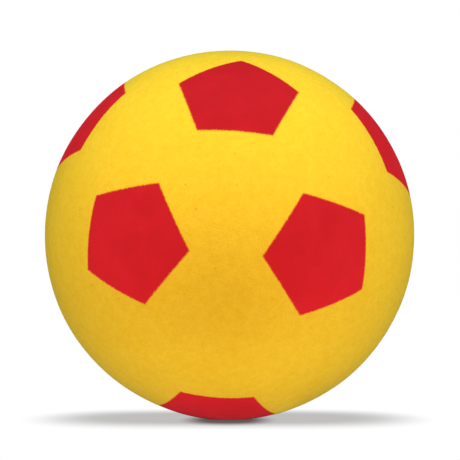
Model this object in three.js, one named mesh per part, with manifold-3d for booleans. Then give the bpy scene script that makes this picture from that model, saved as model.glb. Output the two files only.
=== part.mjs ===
// Soft foam soccer ball: one moulded foam body with twelve red pentagons printed flush in its surface.
// Millimetres, +Z up. The ball stands on z = 0, and its front is towards -Y, with +X on the right.
import * as THREE from 'three';
import { mergeVertices } from 'three/addons/utils/BufferGeometryUtils.js';
import Module from 'manifold-3d';

const wasm = await Module();
wasm.setup();

const degrees = THREE.MathUtils.degToRad;

// The ball
const BALL_DIAMETER = 200;
const REST_SPOT_DIAMETER = 16; // the foam flattens this wide under the ball's own weight

// The printed pentagons
const PENTAGON_SIDE = 39; // from corner to corner, along the ball's surface
const PRINT_DEPTH = 1.2; // how far the ink soaks into the foam
const PRINT_GAP = 0.3; // clearance from a print to the foam beside it and under it

// The pattern: two print masks, one over each half, each with a pentagon at its pole and five round it
const RING_ANGLE = degrees(58); // from the pole to each of the five, seen from the ball's centre
const MASK_HEADING = degrees(3.7); // the upper pole turned to the right of the front
const MASK_TILT = degrees(44); // the upper pole leant from straight up towards the front
const MASK_TURN = degrees(30.1); // the first of the upper five turned about the pole, from the front
const UPPER_STEP = degrees(72); // about the upper pole, from its first pentagon to the two beside it
const LOWER_STEP = degrees(78); // the same on the lower mask, where those two lie just out of the front view

// Facets
const FACETS_AROUND = 56;
const FACETS_PER_QUARTER = 14; // from the top to the equator, and again from there to the rest spot

// Finishes
const FOAM_YELLOW = '#f6cd2c';
const FOAM_ROUGHNESS = 0.95;
const INK_RED = '#cf2029';
const INK_ROUGHNESS = 0.7;

const PENTAGON_CORNERS = 5;
const FIFTH = (2 * Math.PI) / PENTAGON_CORNERS;
const ballRadius = BALL_DIAMETER / 2;
const centreHeight = Math.sqrt(ballRadius ** 2 - (REST_SPOT_DIAMETER / 2) ** 2);

// Turn a closed three.js geometry into a solid that can be cut.
function toSolid(geometry) {
  const bare = geometry.clone();
  bare.deleteAttribute('normal');
  bare.deleteAttribute('uv');
  const merged = mergeVertices(bare);
  const mesh = new wasm.Mesh({
    numProp: 3,
    vertProperties: new Float32Array(merged.attributes.position.array),
    triVerts: new Uint32Array(merged.index.array),
  });
  return new wasm.Manifold(mesh);
}

// Turn a solid back into a geometry with flat-shaded facets.
function toGeometry(solid) {
  const { vertProperties, triVerts } = solid.getMesh();
  const geometry = new THREE.BufferGeometry();
  geometry.setAttribute('position', new THREE.BufferAttribute(vertProperties, 3));
  geometry.setIndex(new THREE.BufferAttribute(triVerts, 1));
  geometry.computeVertexNormals();
  return geometry;
}

// The resting ball about its own centre: a turned profile of two arcs that ends in the flat rest spot.
// With a depth it is the same shape that far under the surface.
function restingBall(depth) {
  const restAngle = Math.asin(REST_SPOT_DIAMETER / 2 / ballRadius);
  const lowerArc = Math.PI / 2 - restAngle;
  const profile = [new THREE.Vector2(0, -centreHeight)];
  for (let step = 0; step < FACETS_PER_QUARTER; step += 1) {
    const below = lowerArc * (1 - step / FACETS_PER_QUARTER);
    profile.push(new THREE.Vector2(ballRadius * Math.cos(below), -ballRadius * Math.sin(below)));
  }
  for (let step = 0; step < FACETS_PER_QUARTER; step += 1) {
    const above = (Math.PI / 2) * (step / FACETS_PER_QUARTER);
    profile.push(new THREE.Vector2(ballRadius * Math.cos(above), ballRadius * Math.sin(above)));
  }
  profile.push(new THREE.Vector2(0, ballRadius));
  const geometry = new THREE.LatheGeometry(profile, FACETS_AROUND);
  const scale = (ballRadius - depth) / ballRadius;
  geometry.rotateX(Math.PI / 2);
  geometry.scale(scale, scale, scale);
  return toSolid(geometry);
}

// A five-sided pyramid from the ball's centre out past its surface, along +Z with a corner towards +Y.
// Its sides cut the surface in great circles, at sideAngle from the middle of each side to the axis.
function pentagonPyramid(sideAngle) {
  const reach = BALL_DIAMETER;
  const cornerRadius = (reach * Math.tan(sideAngle)) / Math.cos(FIFTH / 2);
  const geometry = new THREE.ConeGeometry(cornerRadius, reach, PENTAGON_CORNERS);
  geometry.translate(0, -reach / 2, 0);
  geometry.rotateX(-Math.PI / 2);
  return geometry;
}

// Where a mask sits: turned about its pole, leant towards the front, then turned about the upright.
function maskPose(tilt, turn) {
  const pose = new THREE.Matrix4().makeRotationZ(MASK_HEADING);
  pose.multiply(new THREE.Matrix4().makeRotationX(tilt));
  return pose.multiply(new THREE.Matrix4().makeRotationZ(turn));
}

// Where the five of a ring sit about the pole: the first, one a step to each side of it, and two spread
// evenly over the rest.
function ringPlaces(step) {
  const restStep = (2 * Math.PI - 2 * step) / 3;
  return [0, step, step + restStep, step + 2 * restStep, step + 3 * restStep];
}

// One named pose for each pentagon of a mask: the pole's, with its corners towards the ring, then the
// ring's, each with a corner towards the pole.
function maskPentagons(pose, step, poleName, ringNames) {
  const pole = new THREE.Matrix4().makeRotationZ(FIFTH / 2);
  const placed = [{ name: poleName, pose: pose.clone().multiply(pole) }];
  const places = ringPlaces(step);
  ringNames.forEach((name, order) => {
    const around = new THREE.Matrix4().makeRotationZ(places[order]);
    around.multiply(new THREE.Matrix4().makeRotationX(RING_ANGLE));
    placed.push({ name, pose: pose.clone().multiply(around) });
  });
  return placed;
}

const upperMask = maskPose(MASK_TILT, MASK_TURN);
// The lower mask is the upper one turned over, half a place round, so that the two rings interleave.
const lowerMask = maskPose(MASK_TILT - Math.PI, Math.PI + FIFTH / 2 - MASK_TURN);
const pentagons = [
  ...maskPentagons(upperMask, UPPER_STEP, 'pentagon_front_top', [
    'pentagon_front_right',
    'pentagon_right_upper',
    'pentagon_back_top',
    'pentagon_left_upper',
    'pentagon_front_left',
  ]),
  ...maskPentagons(lowerMask, LOWER_STEP, 'pentagon_back_bottom', [
    'pentagon_bottom',
    'pentagon_left_lower',
    'pentagon_back_left',
    'pentagon_back_right',
    'pentagon_right_lower',
  ]),
];

// On the sphere, half a pentagon's side gives its corner angle, and that gives its side angle.
const halfSideAngle = PENTAGON_SIDE / 2 / ballRadius;
const cornerAngle = Math.asin(Math.sin(halfSideAngle) / Math.sin(FIFTH / 2));
const printAngle = Math.atan(Math.tan(cornerAngle) * Math.cos(FIFTH / 2));
const pocketAngle = printAngle + PRINT_GAP / ballRadius;

const surface = restingBall(0);
const printFloor = restingBall(PRINT_DEPTH);
const pocketFloor = restingBall(PRINT_DEPTH + PRINT_GAP);

// The foam body: the whole ball less a shallow pocket for each print.
function foamCore() {
  let body = surface;
  for (const { pose } of pentagons) {
    const pyramid = toSolid(pentagonPyramid(pocketAngle).applyMatrix4(pose));
    body = body.subtract(pyramid.subtract(pocketFloor));
  }
  const foam = { color: FOAM_YELLOW, roughness: FOAM_ROUGHNESS, metalness: 0 };
  const mesh = new THREE.Mesh(toGeometry(body), new THREE.MeshStandardMaterial(foam));
  mesh.name = 'foam_core';
  return mesh;
}

// One print: the skin of the ball inside its pentagon.
function printedPentagon({ name, pose }) {
  const pyramid = toSolid(pentagonPyramid(printAngle).applyMatrix4(pose));
  const layer = pyramid.intersect(surface).subtract(printFloor);
  const ink = { color: INK_RED, roughness: INK_ROUGHNESS, metalness: 0 };
  const mesh = new THREE.Mesh(toGeometry(layer), new THREE.MeshStandardMaterial(ink));
  mesh.name = name;
  return mesh;
}

const ball = new THREE.Group();
ball.position.z = centreHeight;
ball.add(foamCore());
for (const pentagon of pentagons) {
  ball.add(printedPentagon(pentagon));
}

const part = new THREE.Group();
part.add(ball);
export default part;
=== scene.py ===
import bpy
import numpy as np
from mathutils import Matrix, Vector


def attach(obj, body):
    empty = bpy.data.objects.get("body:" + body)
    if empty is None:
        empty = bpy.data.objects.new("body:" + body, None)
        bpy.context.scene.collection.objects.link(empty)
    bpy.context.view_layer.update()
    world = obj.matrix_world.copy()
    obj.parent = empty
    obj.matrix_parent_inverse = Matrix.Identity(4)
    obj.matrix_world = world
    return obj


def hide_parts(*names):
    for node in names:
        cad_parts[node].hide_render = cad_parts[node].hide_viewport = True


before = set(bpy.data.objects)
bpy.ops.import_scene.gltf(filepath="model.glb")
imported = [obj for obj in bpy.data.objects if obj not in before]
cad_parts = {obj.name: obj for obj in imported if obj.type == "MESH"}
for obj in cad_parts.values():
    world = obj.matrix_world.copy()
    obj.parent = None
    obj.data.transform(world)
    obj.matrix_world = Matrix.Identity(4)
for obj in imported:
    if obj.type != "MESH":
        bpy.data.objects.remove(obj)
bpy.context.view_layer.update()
print("frame loaded:", len(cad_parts), "nodes")


# Colour from an sRGB hex value to linear, with alpha 1.
def linear(hexColour):
    srgb = np.array([int(hexColour[i:i + 2], 16) for i in (1, 3, 5)]) / 255
    low = srgb / 12.92
    high = ((srgb + 0.055) / 1.055) ** 2.4
    return (*np.where(srgb <= 0.04045, low, high).tolist(), 1.0)


# One node with its settings and links. A setting is an input socket's value or the node's own property.
# A link is a socket's name or place with the output that feeds it.
def addNode(tree, kind, settings, links=None):
    node = tree.nodes.new(kind)
    for name, value in settings.items():
        if isinstance(name, str) and name not in node.inputs:
            setattr(node, name, value)
        else:
            node.inputs[name].default_value = value
    for name, output in (links or {}).items():
        tree.links.new(output, node.inputs[name])
    return node


def newMaterial(name):
    material = bpy.data.materials.new(name)
    material.use_nodes = True
    material.node_tree.nodes.clear()
    return material


# The foam: soft polyurethane, moulded in one piece. Its skin is matte and even with very fine cells, which
# give it a faint grain. It is mottled where the cells crowd, has a few open pores, and the colour drifts a
# little. The cells' middles and the pores take a deeper amber as painted shade in those hollows, and the
# mottle takes it as random tone. A tinted layer over it is painted shade, deeper and greener towards the
# ball's rim.
foam = {
    "yellow": "#f8c428",
    # the deeper amber: painted shade in the cells and pores, and the mottle's random tone
    "hollowShadeAndGrain": "#e5a814",
    "drift": "#fbcd36",
    "cellSize": 0.0011,  # real cells are 0.3 to 0.6 mm, drawn about twice as coarse so that they show
    "cellReach": (0.05, 0.6),  # from a cell's middle to its wall, in cell sizes
    "cellShare": 0.28,  # how much of the deeper amber the cells' middles show, as painted shade; the mottle and the pores have shares of their own
    "mottleSize": 0.004,
    "mottleDetail": 2.0,
    "mottleRange": (0.35, 0.65),  # of the noise, from none to all of its share
    "mottleShare": 0.22,
    "poreSpacing": 0.011,
    "poreReach": (0.03, 0.09),  # from a pore's middle to its rim, in pore spacings
    # the pores' share of the deeper amber, painted shade in them
    "poreShare": 0.55,
    "driftSize": 0.012,
    "driftDetail": 3.0,
    "driftRange": (0.3, 0.7),
    "driftShare": 0.3,
    "cellDepth": 0.00012,
    "poreDepth": 0.0004,
    "bump": 0.5,  # how strongly those depths show
    "index": 1.5,
    "gloss": 0.08,  # a smooth skin has 0.5, and open cells leave little of it
    "roughness": (1.0, 0.85),  # in a cell's middle and on its wall
    "rimShadeLayerIndex": 1.013,  # of the tinted layer, so near to air's that it adds almost no gloss
    "rimShadeLayerRoughness": 0.9,
    "rimShadeTint": (0.945, 0.965, 1.0, 1.0),  # the layer's tint, slight face on and deeper at a slant: painted shade, darker and greener towards the rim
}


# From 0 in the middle of a foam cell to 1 at its wall.
def cellWalls(tree, coords):
    cells = addNode(tree, "ShaderNodeTexVoronoi", {"Scale": 1 / foam["cellSize"], "Randomness": 1.0},
                    {"Vector": coords})
    start, end = foam["cellReach"]
    walls = addNode(tree, "ShaderNodeMapRange",
                    {"interpolation_type": "SMOOTHSTEP", "From Min": start, "From Max": end},
                    {"Value": cells.outputs["Distance"]})
    return walls.outputs["Result"]


# The matte surface that the foam and the print share, under a tinted layer that paints shade towards the
# rim.
def finishSkin(tree, finish, colour, walls, normal):
    inside, onWall = foam["roughness"]
    rough = addNode(tree, "ShaderNodeMapRange", {"To Min": inside, "To Max": onWall}, {"Value": walls})
    shader = addNode(tree, "ShaderNodeBsdfPrincipled",
                     {"IOR": finish["index"], "Specular IOR Level": finish["gloss"], "Coat Weight": 1.0,
                      "Coat Roughness": foam["rimShadeLayerRoughness"], "Coat IOR": foam["rimShadeLayerIndex"],
                      "Coat Tint": finish["rimShadeTint"]},
                     {"Base Color": colour, "Roughness": rough.outputs["Result"], "Normal": normal})
    addNode(tree, "ShaderNodeOutputMaterial", {}, {"Surface": shader.outputs["BSDF"]})


def mouldedFoam():
    material = newMaterial("mouldedPolyurethaneFoam")
    tree = material.node_tree
    coords = addNode(tree, "ShaderNodeTexCoord", {}).outputs["Object"]
    walls = cellWalls(tree, coords)
    mottle = addNode(tree, "ShaderNodeTexNoise",
                     {"Scale": 1 / foam["mottleSize"], "Detail": foam["mottleDetail"]}, {"Vector": coords})
    pores = addNode(tree, "ShaderNodeTexVoronoi", {"Scale": 1 / foam["poreSpacing"], "Randomness": 1.0},
                    {"Vector": coords})
    drift = addNode(tree, "ShaderNodeTexNoise",
                    {"Scale": 1 / foam["driftSize"], "Detail": foam["driftDetail"]}, {"Vector": coords})

    low, high = foam["driftRange"]
    driftShare = addNode(tree, "ShaderNodeMapRange",
                         {"From Min": low, "From Max": high, "To Max": foam["driftShare"]},
                         {"Value": drift.outputs["Fac"]})
    body = addNode(tree, "ShaderNodeMix",
                   {"data_type": "RGBA", 6: linear(foam["yellow"]), 7: linear(foam["drift"])},
                   {0: driftShare.outputs["Result"]})
    cellShare = addNode(tree, "ShaderNodeMapRange", {"To Min": foam["cellShare"], "To Max": 0.0},
                        {"Value": walls})
    low, high = foam["mottleRange"]
    mottleShare = addNode(tree, "ShaderNodeMapRange",
                          {"From Min": low, "From Max": high, "To Max": foam["mottleShare"]},
                          {"Value": mottle.outputs["Fac"]})
    middle, rim = foam["poreReach"]
    poreShare = addNode(tree, "ShaderNodeMapRange",
                        {"interpolation_type": "SMOOTHSTEP", "From Min": middle, "From Max": rim,
                         "To Min": foam["poreShare"], "To Max": 0.0},
                        {"Value": pores.outputs["Distance"]})
    # The cells' middles and the pores take painted shade, and the mottle random tone, in the deeper amber.
    grain = addNode(tree, "ShaderNodeMath", {"operation": "ADD"},
                    {0: cellShare.outputs["Result"], 1: mottleShare.outputs["Result"]})
    shadeAndGrainShare = addNode(tree, "ShaderNodeMath", {"operation": "ADD", "use_clamp": True},
                        {0: grain.outputs["Value"], 1: poreShare.outputs["Result"]})
    skin = addNode(tree, "ShaderNodeMix", {"data_type": "RGBA", 7: linear(foam["hollowShadeAndGrain"])},
                   {0: shadeAndGrainShare.outputs["Value"], 6: body.outputs[2]})

    pits = addNode(tree, "ShaderNodeBump",
                   {"Strength": foam["bump"], "Distance": foam["poreDepth"], "invert": True},
                   {"Height": poreShare.outputs["Result"]})
    bump = addNode(tree, "ShaderNodeBump", {"Strength": foam["bump"], "Distance": foam["cellDepth"]},
                   {"Height": walls, "Normal": pits.outputs["Normal"]})
    finishSkin(tree, foam, skin.outputs[2], walls, bump.outputs["Normal"])
    return material


# The print: flexible ink sprayed on through a mask and soaked into the foam's top cells. It fills most of
# them, so it is a matte, even red with only a trace of the cells. The red is deepest on the two prints at
# the masks' poles and paler on the others: painted shade on the brightly lit top print and painted light on
# the dimmer ring prints. Its rim runs out among the cells, so the edge is a little soft.
ink = {
    "deepRedPaintedShade": "#b81a21",
    "paleRedPaintedLight": "#db222b",
    "slant": (0.3, 1.0),  # cosine of the angle from the poles' axis where the red is palest and where it is deepest
    "driftSize": 0.014,
    "driftDetail": 3.0,
    "driftRange": (0.3, 0.7),
    "uneven": 0.15,  # how far the drift moves the red from pale to deep, either way, as random tone
    # a darker red in the cells' middles, painted shade in their hollows
    "hollowShadeAndGrain": "#b81017",
    "shadeAndGrainShare": 0.15,
    "cellDepth": 0.00006,
    "bump": 0.4,
    "rim": 0.0014,  # from the edge to where the ink covers the foam
    "rimStray": 0.0004,  # how far the cells move that
    "index": 1.48,
    "gloss": 0.03,
    # a grey tint in the same layer: painted shade, darker towards the rim
    "rimShadeTint": (0.975, 0.975, 0.975, 1.0),
}


def flexibleInk():
    material = newMaterial("flexiblePrintInk")
    tree = material.node_tree
    coords = addNode(tree, "ShaderNodeTexCoord", {}).outputs["Object"]
    walls = cellWalls(tree, coords)
    drift = addNode(tree, "ShaderNodeTexNoise",
                    {"Scale": 1 / ink["driftSize"], "Detail": ink["driftDetail"]}, {"Vector": coords})
    # How directly a point faces the poles' axis sets the painted shade and painted light in the red.
    facing = addNode(tree, "ShaderNodeAttribute", {"attribute_name": "poleFacing"})
    thin, full = ink["slant"]
    even = addNode(tree, "ShaderNodeMapRange", {"From Min": thin, "From Max": full},
                   {"Value": facing.outputs["Fac"]})
    low, high = ink["driftRange"]
    uneven = addNode(tree, "ShaderNodeMapRange",
                     {"From Min": low, "From Max": high, "To Min": -ink["uneven"], "To Max": ink["uneven"]},
                     {"Value": drift.outputs["Fac"]})
    deepRedShare = addNode(tree, "ShaderNodeMath", {"operation": "ADD", "use_clamp": True},
                   {0: even.outputs["Result"], 1: uneven.outputs["Result"]})
    body = addNode(tree, "ShaderNodeMix",
                   {"data_type": "RGBA", 6: linear(ink["paleRedPaintedLight"]), 7: linear(ink["deepRedPaintedShade"])},
                   {0: deepRedShare.outputs["Value"]})
    shadeAndGrainShare = addNode(tree, "ShaderNodeMapRange", {"To Min": ink["shadeAndGrainShare"], "To Max": 0.0},
                        {"Value": walls})
    coated = addNode(tree, "ShaderNodeMix", {"data_type": "RGBA", 7: linear(ink["hollowShadeAndGrain"])},
                     {0: shadeAndGrainShare.outputs["Result"], 6: body.outputs[2]})

    rimWay = addNode(tree, "ShaderNodeAttribute", {"attribute_name": "rimWay"})
    stray = addNode(tree, "ShaderNodeMapRange",
                    {"To Min": -ink["rimStray"] / 2, "To Max": ink["rimStray"] / 2}, {"Value": walls})
    strayed = addNode(tree, "ShaderNodeMath", {"operation": "ADD"},
                      {0: rimWay.outputs["Fac"], 1: stray.outputs["Result"]})
    covered = addNode(tree, "ShaderNodeMapRange",
                      {"interpolation_type": "SMOOTHSTEP", "From Max": ink["rim"]},
                      {"Value": strayed.outputs["Value"]})
    skin = addNode(tree, "ShaderNodeMix", {"data_type": "RGBA", 6: linear(foam["yellow"])},
                   {0: covered.outputs["Result"], 7: coated.outputs[2]})
    bump = addNode(tree, "ShaderNodeBump", {"Strength": ink["bump"], "Distance": ink["cellDepth"]},
                   {"Height": walls})
    finishSkin(tree, ink, skin.outputs[2], walls, bump.outputs["Normal"])
    return material


foamMaterial = mouldedFoam()
inkMaterial = flexibleInk()
print("materials made")

ball = {
    "radius": 0.1,
    "restSpot": 0.016,  # across the flat that the foam rests on
    "restEase": 0.0001,  # height over which that flat runs out into the round
    "patchCells": 126,  # cells along each side of its six patches
    "swell": 0.00006,  # usual height of the slow unevenness that moulded foam has
    "swellLengths": (0.028, 0.07),  # the shortest and the longest of its waves
    "swellWaves": 24,
    "seed": 11,
}
centreHeight = (ball["radius"] ** 2 - (ball["restSpot"] / 2) ** 2) ** 0.5

# The pattern has two masks, one over each half. Each has a pentagon at its pole and five round it.
pattern = {
    "side": 0.039,  # of a pentagon, from corner to corner along the surface
    "ringAngle": 58,  # degrees from a mask's pole to each of the five
    "heading": 3.7,  # the upper pole turned to the right of the front
    "tilt": 44,  # and leant from straight up towards the front
    "turn": 30.1,  # the first of the five turned about the pole, from the front
    "upperStep": 72,  # about the upper pole, from its first pentagon to the two beside it
    "lowerStep": 78,  # the same on the lower mask, where those two lie just out of the front view
}
printLayer = {
    "rise": 0.00006,  # the ink stands this far above the foam
    "sunk": 0.00003,  # and its edge lies this far in it
    "edgeRoll": 0.00025,
    "dish": 0.0004,  # depth of the soaked layer away from its edge
    "dishEase": 0.0025,
    "dishGap": 0.00001,
    "cornerSharpness": 140,
    "bleed": 0.0007,  # how far the ink runs out past its mask
    "ragged": 0.00005,  # how far the edge wanders among the cells
    "raggedBeats": (18, 90),  # waves of that round the print, from the first number to below the second
    "raggedWaves": 8,
    "stepsPerSide": 56,
    "cornerCrowding": 0.75,  # how much the steps crowd towards the corners, from none to 1
    "rings": 18,
    "edgeCrowding": 2.2,  # power by which the rings crowd towards the edge
    "seed": 5,
}
fifth = 2 * np.pi / 5
halfPlace = 36  # degrees, half of a fifth of a turn
halfSideAngle = pattern["side"] / 2 / ball["radius"]
cornerAngle = np.arcsin(np.sin(halfSideAngle) / np.sin(fifth / 2))
# From a pentagon's middle to a side, on a plane at radius 1.
sideReach = np.tan(cornerAngle) * np.cos(fifth / 2) + printLayer["bleed"] / ball["radius"]
sideHeadings = np.pi / 2 + fifth / 2 + fifth * np.arange(5)  # a corner points along +Y


# The matrix of a turn about X: cosines and sines across Y and Z.
def turnedX(degrees):
    c, s = np.cos(np.radians(degrees)), np.sin(np.radians(degrees))
    return np.array([[1, 0, 0], [0, c, -s], [0, s, c]])


# The same about Z, across X and Y.
def turnedZ(degrees):
    c, s = np.cos(np.radians(degrees)), np.sin(np.radians(degrees))
    return np.array([[c, -s, 0], [s, c, 0], [0, 0, 1]])


# The turn of each pentagon of a mask: the pole's has its corners towards the ring, and the ring's have a
# corner towards the pole. The ring's first is at 0, the next a step to each side of it, and two spread
# evenly over the rest.
def maskTurns(tilt, turn, step):
    mask = turnedZ(pattern["heading"]) @ turnedX(tilt) @ turnedZ(turn)
    places = [0, *np.linspace(step, 360 - step, 4)]
    ring = [mask @ turnedZ(place) @ turnedX(pattern["ringAngle"]) for place in places]
    return [mask @ turnedZ(halfPlace), *ring]


nodeNames = ["pentagon_front_top", "pentagon_front_right", "pentagon_right_upper", "pentagon_back_top",
             "pentagon_left_upper", "pentagon_front_left", "pentagon_back_bottom", "pentagon_bottom",
             "pentagon_left_lower", "pentagon_back_left", "pentagon_back_right", "pentagon_right_lower"]
# The lower mask is the upper one turned over, half a place round.
printTurns = [*maskTurns(pattern["tilt"], pattern["turn"], pattern["upperStep"]),
              *maskTurns(pattern["tilt"] - 180, 180 + halfPlace - pattern["turn"], pattern["lowerStep"])]
poleAxis = printTurns[0][:, 2]  # through both masks' poles


# From 0 to 1 with level ends: 3 t squared less 2 t cubed.
def eased(t):
    t = np.clip(t, 0, 1)
    return t * t * (3 - 2 * t)


# The foam's skin. Each direction from the ball's centre has a length of the radius, plus a sum of sine
# waves across the ball, plus the lift. Its height z over the floor then becomes half of z plus the root of
# z squared plus the ease squared, which is flat where the ball would sink into the floor.
def foamSkin(directions, lift):
    rng = np.random.default_rng(ball["seed"])
    waves = rng.normal(size=(ball["swellWaves"], 3))
    waves /= np.linalg.norm(waves, axis=1, keepdims=True)
    lengths = rng.uniform(*ball["swellLengths"], ball["swellWaves"])
    waves *= (2 * np.pi * ball["radius"] / lengths)[:, None]
    phases = rng.uniform(0, 2 * np.pi, ball["swellWaves"])
    swell = np.sin(directions @ waves.T + phases).sum(axis=-1) * (2 / ball["swellWaves"]) ** 0.5
    points = directions * (ball["radius"] + ball["swell"] * swell + lift)[..., None]
    points[..., 2] += centreHeight
    points[..., 2] = (points[..., 2] + np.hypot(points[..., 2], ball["restEase"])) / 2
    return points


sharpAngle = np.radians(60)  # faces that meet at more than this keep a sharp edge


def addPiece(name, points, faces, material):
    mesh = bpy.data.meshes.new(name)
    mesh.from_pydata(points.tolist(), [], faces)
    mesh.shade_smooth()
    mesh.set_sharp_from_angle(angle=sharpAngle)
    mesh.materials.append(material)
    piece = bpy.data.objects.new(name, mesh)
    bpy.context.scene.collection.objects.link(piece)
    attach(piece, "root")
    return piece


# The corners of every cell of a grid of points, in order round the cell.
def gridCells(numbers):
    corners = numbers[:-1, :-1], numbers[1:, :-1], numbers[1:, 1:], numbers[:-1, 1:]
    return np.stack([c.ravel() for c in corners], axis=1)


nearCosine = 0.8  # directions further than this from a print's middle lie well outside it


# Depth of the foam's dish under the prints: eased from 0 at a print's edge to the whole dish. On the plane
# that touches the sphere at a print's middle, the way in from its edge is the side's reach less the
# furthest of the point's distances along the five side headings.
def dishDepth(directions):
    outward = np.stack([np.cos(sideHeadings), np.sin(sideHeadings)])
    depth = np.zeros(len(directions))
    for turn in printTurns:
        local = directions @ turn
        facing = local[:, 2] > nearCosine
        flat = local[facing, :2] / local[facing, 2:]
        wayIn = (sideReach - (flat @ outward).max(axis=1)) * ball["radius"]
        dish = printLayer["dish"] * eased(wayIn / printLayer["dishEase"])
        depth[facing] = np.maximum(depth[facing], dish)
    return depth


# The foam ball: six square patches. On each, two angles run from -45 to 45 degrees, and their tangents
# with 1 are a point on a cube's side, which is drawn in to the sphere. Points on shared edges become one.
def makeFoamBall():
    cells = ball["patchCells"]
    tangents = np.tan(np.linspace(-np.pi / 4, np.pi / 4, cells + 1))
    across, along = np.meshgrid(tangents, tangents, indexing="ij")
    sides = []
    for axis in range(3):
        for sign in (1, -1):
            side = np.empty((cells + 1, cells + 1, 3))
            side[..., axis] = sign
            side[..., (axis + 1) % 3] = sign * across
            side[..., (axis + 2) % 3] = along
            sides.append(side)
    cube = np.stack(sides).round(9)
    corners, numbers = np.unique(cube.reshape(-1, 3), axis=0, return_inverse=True)
    directions = corners / np.linalg.norm(corners, axis=1, keepdims=True)
    points = foamSkin(directions, -dishDepth(directions))
    faces = np.concatenate([gridCells(side) for side in numbers.reshape(cube.shape[:3])])
    piece = addPiece("foamBall", points, faces.tolist(), foamMaterial)
    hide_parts("foam_core")
    print("foam ball:", len(points), "points,", len(faces), "faces")


# A print's outline on the plane that touches the sphere at its middle: headings that crowd towards the
# corners, and the reach along each. The reach is the side's reach over a high root of the sum of the side
# cosines, each to the same high power, which gives a pentagon with slightly rounded corners. It then
# wanders by a few sines of the heading.
def printOutline(rng):
    along = np.linspace(-1, 1, printLayer["stepsPerSide"], endpoint=False)
    crowding = printLayer["cornerCrowding"]
    crowded = (crowding * np.sin(along * np.pi / 2) + (1 - crowding) * along) * fifth / 2
    headings = (sideHeadings[:, None] + crowded).ravel()
    cosines = np.clip(np.cos(headings[:, None] - sideHeadings), 0, None)
    power = printLayer["cornerSharpness"]
    reach = sideReach / (cosines ** power).sum(axis=1) ** (1 / power)
    waves = printLayer["raggedWaves"]
    beats = rng.integers(*printLayer["raggedBeats"], waves)
    phases = rng.uniform(0, 2 * np.pi, waves)
    wander = np.sin(headings[:, None] * beats + phases).sum(axis=1) * (2 / waves) ** 0.5
    return headings, reach + wander * printLayer["ragged"] / ball["radius"]


# A print's rings, from its middle over its edge and back underneath to the middle: each ring's share of the
# outline's reach, its lift from the foam's skin and its way in from the edge. The top rises from the edge
# by an exponential, and the underside follows the foam's dish.
def printRings():
    rings = printLayer["rings"]
    share = (np.arange(1, rings + 1) / rings) ** printLayer["edgeCrowding"]  # from the edge to the middle
    wayIn = share * sideReach * ball["radius"]
    sunk = printLayer["sunk"]
    top = printLayer["rise"] * (1 - np.exp(-wayIn / printLayer["edgeRoll"])) - sunk
    soaked = printLayer["dish"] - printLayer["dishGap"] - sunk
    under = -sunk - soaked * eased(wayIn / printLayer["dishEase"])
    shares = np.concatenate([1 - share[::-1], [1], 1 - share])
    lifts = np.concatenate([top[::-1], [-sunk], under])
    return shares, lifts, np.concatenate([wayIn[::-1], [0], wayIn])


# One print: a closed thin layer of the rings, each drawn on the outline and laid on the foam's skin. The
# first and the last are single points.
def makePrint(node, turn, rng):
    headings, reach = printOutline(rng)
    shares, lifts, wayIn = printRings()
    flat = shares[1:-1, None] * reach
    local = np.stack([flat * np.cos(headings), flat * np.sin(headings), np.ones_like(flat)], axis=-1)
    local /= np.linalg.norm(local, axis=-1, keepdims=True)
    middles = np.stack([turn[:, 2], turn[:, 2]])
    directions = np.concatenate([(local @ turn.T).reshape(-1, 3), middles])
    lift = np.concatenate([np.repeat(lifts[1:-1], len(headings)), lifts[[0, -1]]])
    rimWay = np.concatenate([np.repeat(wayIn[1:-1], len(headings)), wayIn[[0, -1]]])
    points = foamSkin(directions, lift)

    numbers = np.arange(flat.size).reshape(flat.shape)
    closed = np.concatenate([numbers, numbers[:, :1]], axis=1)
    first, last = closed[0], closed[-1]
    middle = np.full(len(headings), flat.size)
    topFan = np.stack([middle, first[:-1], first[1:]], axis=1)
    underFan = np.stack([middle + 1, last[1:], last[:-1]], axis=1)
    faces = gridCells(closed).tolist() + topFan.tolist() + underFan.tolist()
    name = "print" + "".join(word.capitalize() for word in node.split("_")[1:])
    piece = addPiece(name, points, faces, inkMaterial)
    # poleFacing carries the painted shade and painted light of the red, rimWay the print's soft edge.
    for attribute, values in (("poleFacing", np.abs(directions @ poleAxis)), ("rimWay", rimWay)):
        piece.data.attributes.new(attribute, "FLOAT", "POINT").data.foreach_set("value", values)
    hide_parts(node)


makeFoamBall()
printRng = np.random.default_rng(printLayer["seed"])
for node, turn in zip(nodeNames, printTurns):
    makePrint(node, turn, printRng)
print("prints:", len(nodeNames))

# The sweep: matte card. The camera sees it as plain white, shown as its own light. That light fades out in
# a fixed soft ellipse round the ball's foot, a painted shadow, and most of all in a small painted contact
# shadow round the spot that the ball rests on, so that the card's own lamp-lit shade shows there.
sweep = {
    "across": 12.0,
    "card": "#5a5a5a",
    "shadowMiddle": (-0.0008, 0.0154, 0),  # from the middle of the ball's foot
    "shadowSize": (0.109, 0.145, 1),  # about from the shadow's middle to its end, across and in depth
    "shadowFade": (0.356, 1.11),  # of its outline, where the shadow starts to turn white and where it ends
    "shadowGlow": 0.502,  # how much of the white still shows in it
    "contactShadowMiddle": (-0.0011, -0.012, 0),
    "contactShadowSize": (0.026, 0.09, 1),
    "contactShadowFade": (0.42, 1.08),
    "contactShadowGlow": 0.085,  # and in the painted contact shadow round the spot that the ball rests on
}


# 1 for the rays that see a surface as it is, from the camera, off a gloss or through glass, and 0 for those
# that only carry its light.
def seenRays(tree):
    rays = addNode(tree, "ShaderNodeLightPath", {})
    seen = rays.outputs["Is Camera Ray"]
    for kind in ("Is Glossy Ray", "Is Transmission Ray"):
        either = addNode(tree, "ShaderNodeMath", {"operation": "MAXIMUM"}, {0: seen, 1: rays.outputs[kind]})
        seen = either.outputs["Value"]
    return seen


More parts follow.
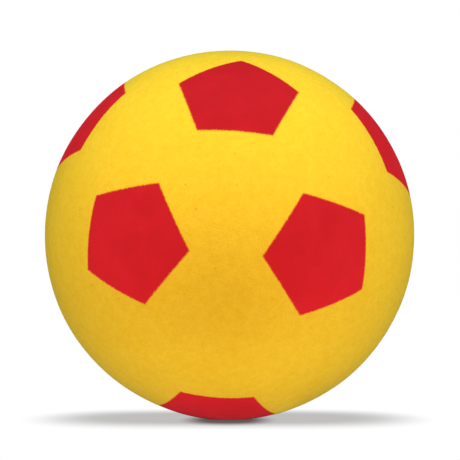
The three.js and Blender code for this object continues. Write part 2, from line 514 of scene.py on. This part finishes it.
# Where a point lies from a middle, in sizes.
def placeFrom(tree, coords, middle, size):
    away = addNode(tree, "ShaderNodeVectorMath", {"operation": "SUBTRACT", 1: middle}, {0: coords})
    place = addNode(tree, "ShaderNodeVectorMath", {"operation": "DIVIDE", 1: size},
                    {0: away.outputs["Vector"]})
    return place.outputs["Vector"]


def matteCard():
    material = newMaterial("matteCard")
    tree = material.node_tree
    coords = addNode(tree, "ShaderNodeTexCoord", {}).outputs["Object"]
    contact = placeFrom(tree, coords, sweep["contactShadowMiddle"], sweep["contactShadowSize"])
    away = addNode(tree, "ShaderNodeVectorMath", {"operation": "LENGTH"}, {0: contact})
    start, end = sweep["contactShadowFade"]
    shade = addNode(tree, "ShaderNodeMapRange",
                    {"interpolation_type": "SMOOTHSTEP", "From Min": start, "From Max": end,
                     "To Min": sweep["contactShadowGlow"], "To Max": sweep["shadowGlow"]},
                    {"Value": away.outputs["Value"]})

    # The painted shadow's outline is the root of the way across to the fourth power plus the way in depth
    # squared.
    shadow = placeFrom(tree, coords, sweep["shadowMiddle"], sweep["shadowSize"])
    squared = addNode(tree, "ShaderNodeVectorMath", {"operation": "MULTIPLY"}, {0: shadow, 1: shadow})
    parts = addNode(tree, "ShaderNodeSeparateXYZ", {}, {"Vector": squared.outputs["Vector"]})
    across = addNode(tree, "ShaderNodeMath", {"operation": "POWER", 1: 2.0}, {0: parts.outputs["X"]})
    both = addNode(tree, "ShaderNodeMath", {"operation": "ADD"},
                   {0: across.outputs["Value"], 1: parts.outputs["Y"]})
    outline = addNode(tree, "ShaderNodeMath", {"operation": "SQRT"}, {0: both.outputs["Value"]})
    start, end = sweep["shadowFade"]
    plain = addNode(tree, "ShaderNodeMapRange",
                    {"interpolation_type": "SMOOTHSTEP", "From Min": start, "From Max": end, "To Max": 1.0},
                    {"Value": outline.outputs["Value"], "To Min": shade.outputs["Result"]})

    glow = addNode(tree, "ShaderNodeMath", {"operation": "MULTIPLY"},
                   {0: seenRays(tree), 1: plain.outputs["Result"]})
    card = addNode(tree, "ShaderNodeBsdfDiffuse", {"Color": linear(sweep["card"])})
    light = addNode(tree, "ShaderNodeEmission", {"Strength": 1.0})
    shown = addNode(tree, "ShaderNodeMixShader", {},
                    {0: glow.outputs["Value"], 1: card.outputs["BSDF"], 2: light.outputs["Emission"]})
    addNode(tree, "ShaderNodeOutputMaterial", {}, {"Surface": shown.outputs["Shader"]})
    return material


def makeSweep():
    half = sweep["across"] / 2
    corners = [(-half, -half, 0), (half, -half, 0), (half, half, 0), (-half, half, 0)]
    mesh = bpy.data.meshes.new("sweepFloor")
    mesh.from_pydata(corners, [], [(0, 1, 2, 3)])
    mesh.materials.append(matteCard())
    floor = bpy.data.objects.new("sweepFloor", mesh)
    bpy.context.scene.collection.objects.link(floor)


makeSweep()

# Plain studio light: two slightly cool soft boxes high in front, a flat box low on each side, a warm strip
# low in front and a box low behind. Four faint panels lie round the ball's foot, for the light that a white
# table sends up. Watts, metres; alone, a lamp at distance d shows a colour about as written at 9.9 d
# squared watts.
lamps = {
    "keyRight": {"at": (0.49, -0.49, 1.43), "size": (0.6, 0.6), "watts": 12.95, "light": "#e4f7ff"},
    "keyLeft": {"at": (-0.49, -0.49, 1.43), "size": (0.6, 0.6), "watts": 14.25, "light": "#e4f7ff"},
    "sideRight": {"at": (1.49, -0.13, 0.1), "size": (0.6, 0.18), "watts": 9.5, "light": "#f0f8ff"},
    "sideLeft": {"at": (-1.49, -0.13, 0.1), "size": (0.6, 0.18), "watts": 6.2, "light": "#f0f8ff"},
    "frontStrip": {"at": (0, -1.0, 0.035), "size": (0.6, 0.06), "watts": 5.9, "light": "#ffe8d0"},
    "backBox": {"at": (0, 1.5, 0.16), "size": (0.6, 0.24), "watts": 15, "light": "#ffffff"},
    "tableRight": {"at": (0.158, 0.035, 0.001), "size": (0.256, 0.326), "watts": 0.129, "light": "#f4f9ff"},
    "tableLeft": {"at": (-0.158, 0.035, 0.001), "size": (0.256, 0.326), "watts": 0.144, "light": "#f4f9ff"},
    "tableFront": {"at": (0, -0.14, 0.001), "size": (0.24, 0.12), "watts": 0.024, "light": "#f4f9ff"},
    "tableFoot": {"at": (0, -0.058, 0.0003), "size": (0.064, 0.094), "watts": 0.0125, "light": "#f4f9ff"},
}
room = {"level": 0.1}


# Each lamp faces the ball's middle, or straight up where it is a panel on the floor.
def makeLamps():
    middle = Vector((0, 0, centreHeight))
    for name, lamp in lamps.items():
        light = bpy.data.lights.new(name, "AREA")
        light.shape = "RECTANGLE"
        light.size, light.size_y = lamp["size"]
        light.energy = lamp["watts"]
        light.color = linear(lamp["light"])[:3]
        holder = bpy.data.objects.new(name, light)
        holder.location = lamp["at"]
        aim = Vector((0, 0, 1)) if name.startswith("table") else middle - holder.location
        holder.rotation_euler = aim.to_track_quat("-Z", "Y").to_euler()
        holder.visible_camera = False
        bpy.context.scene.collection.objects.link(holder)


# The room's own light is dim and even. The camera sees it as plain white.
def makeRoom():
    world = bpy.data.worlds.new("studioRoom")
    world.use_nodes = True
    tree = world.node_tree
    tree.nodes.clear()
    level = addNode(tree, "ShaderNodeMapRange", {"To Min": room["level"], "To Max": 1.0},
                    {"Value": seenRays(tree)})
    back = addNode(tree, "ShaderNodeBackground", {"Color": (1, 1, 1, 1)},
                   {"Strength": level.outputs["Result"]})
    addNode(tree, "ShaderNodeOutputWorld", {}, {"Surface": back.outputs["Background"]})
    bpy.context.scene.world = world


makeLamps()
makeRoom()
bpy.context.scene.view_settings.view_transform = "Standard"
print("studio set")

# A long lens low over the floor, a little under the ball's middle.
lens = {
    "distance": 1.416,
    "elevation": -1.8,  # degrees
    "ballAcross": 369.6,  # the ball's width in the picture's pixels
    "pictureAcross": 460,
    "ballRight": -0.4,  # the ball's middle from the picture's middle, in pixels
    "ballDown": 5.1,
}


# The ball's half width in the picture is the focal length times the radius, over the root of the distance
# squared less the radius squared.
def makeCamera():
    data = bpy.data.cameras.new("studioCamera")
    sight = (lens["distance"] ** 2 - ball["radius"] ** 2) ** 0.5 / ball["radius"]
    data.lens = data.sensor_width * lens["ballAcross"] / 2 / lens["pictureAcross"] * sight
    camera = bpy.data.objects.new("studioCamera", data)
    up = np.radians(lens["elevation"])
    centre = Vector((0, 0, centreHeight))
    camera.location = centre + lens["distance"] * Vector((0, -np.cos(up), np.sin(up)))
    pixel = 2 * ball["radius"] / lens["ballAcross"]
    aim = centre + pixel * Vector((-lens["ballRight"], 0, lens["ballDown"]))
    camera.rotation_euler = (aim - camera.location).to_track_quat("-Z", "Y").to_euler()
    bpy.context.scene.collection.objects.link(camera)
    bpy.context.scene.camera = camera


makeCamera()
print("camera set")
